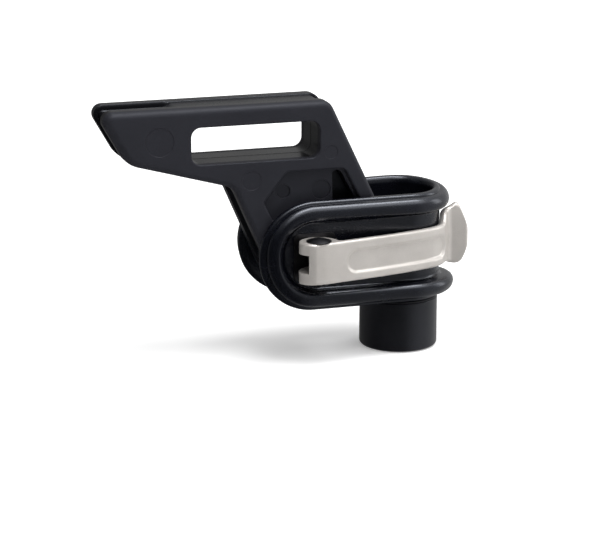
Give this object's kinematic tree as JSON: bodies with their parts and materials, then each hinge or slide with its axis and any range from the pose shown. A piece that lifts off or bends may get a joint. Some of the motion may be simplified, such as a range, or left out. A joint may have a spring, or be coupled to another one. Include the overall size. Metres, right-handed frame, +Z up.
{
  "type": "umbrella swivel bracket",
  "caption": "Swivelling and tilting arm on a stand sleeve, clamped by a horseshoe collar and one cam lever; the arm has a through window and an edge groove.",
  "frame": {"origin": "on the stand sleeve's axis, at the sleeve's foot, where the stand's stud enters", "axes": "+Z up along the sleeve, -X the way the arm reaches, -Y the lever's side"},
  "size_m": [0.1335, 0.0478, 0.0924],
  "materials": {
    "arm_nylon": "fine moulded grain, satin edges",
    "collar_nylon": "smooth satin",
    "sleeve_nylon": "satin",
    "lever_metal": "bead-blasted nickel plate",
    "bright_steel": "bright turned steel",
    "dark_steel": "black oxide",
    "acetal": "natural acetal",
    "black_acetal": "black acetal",
    "friction_lining": "bonded friction lining",
    "bush_bronze": "sintered bronze",
    "insert_nylon": "nylon"
  },
  "bodies": {
    "sleeve": {"swivel_sleeve": "sleeve_nylon", "neck_liner": "acetal", "lower_thrust_washer": "black_acetal", "upper_thrust_washer": "acetal", "retaining_ring": "dark_steel"},
    "collar": {"collar_strap": "collar_nylon", "friction_disc_front": "friction_lining", "friction_disc_rear": "friction_lining", "cam_saddle": "dark_steel", "rear_washer": "bright_steel"},
    "tie": {"tie_bolt": "bright_steel", "disc_spring": "dark_steel", "rear_nut": "bright_steel", "nut_insert": "insert_nylon"},
    "lever": {"lever": "lever_metal", "lever_pin": "dark_steel", "lever_pin_clip": "dark_steel"},
    "arm": {"arm": "arm_nylon", "arm_pivot_bush": "bush_bronze"}
  },
  "joints": [
    {"name": "swivel", "type": "hinge", "parent": "sleeve", "child": "collar", "pos_m": [0, 0, 0.0383], "axis": [0, 0, 1], "continuous": true},
    {"name": "tilt", "type": "hinge", "parent": "collar", "child": "arm", "pos_m": [-0.0365, 0, 0.0383], "axis": [0, -1, 0], "range_deg": [-10, 110]},
    {"name": "tie_slide", "type": "slide", "parent": "collar", "child": "tie", "axis": [0, 1, 0], "range_m": [0, 0.0004]},
    {"name": "lever_open", "type": "hinge", "parent": "tie", "child": "lever", "pos_m": [-0.0373, -0.0222, 0.0383], "axis": [0, 0, -1], "range_deg": [0, 90]}
  ],
  "couplings": [
    {"joint": "tie_slide", "follows": "lever_open", "m_per_rad": 0.00025}
  ]
}
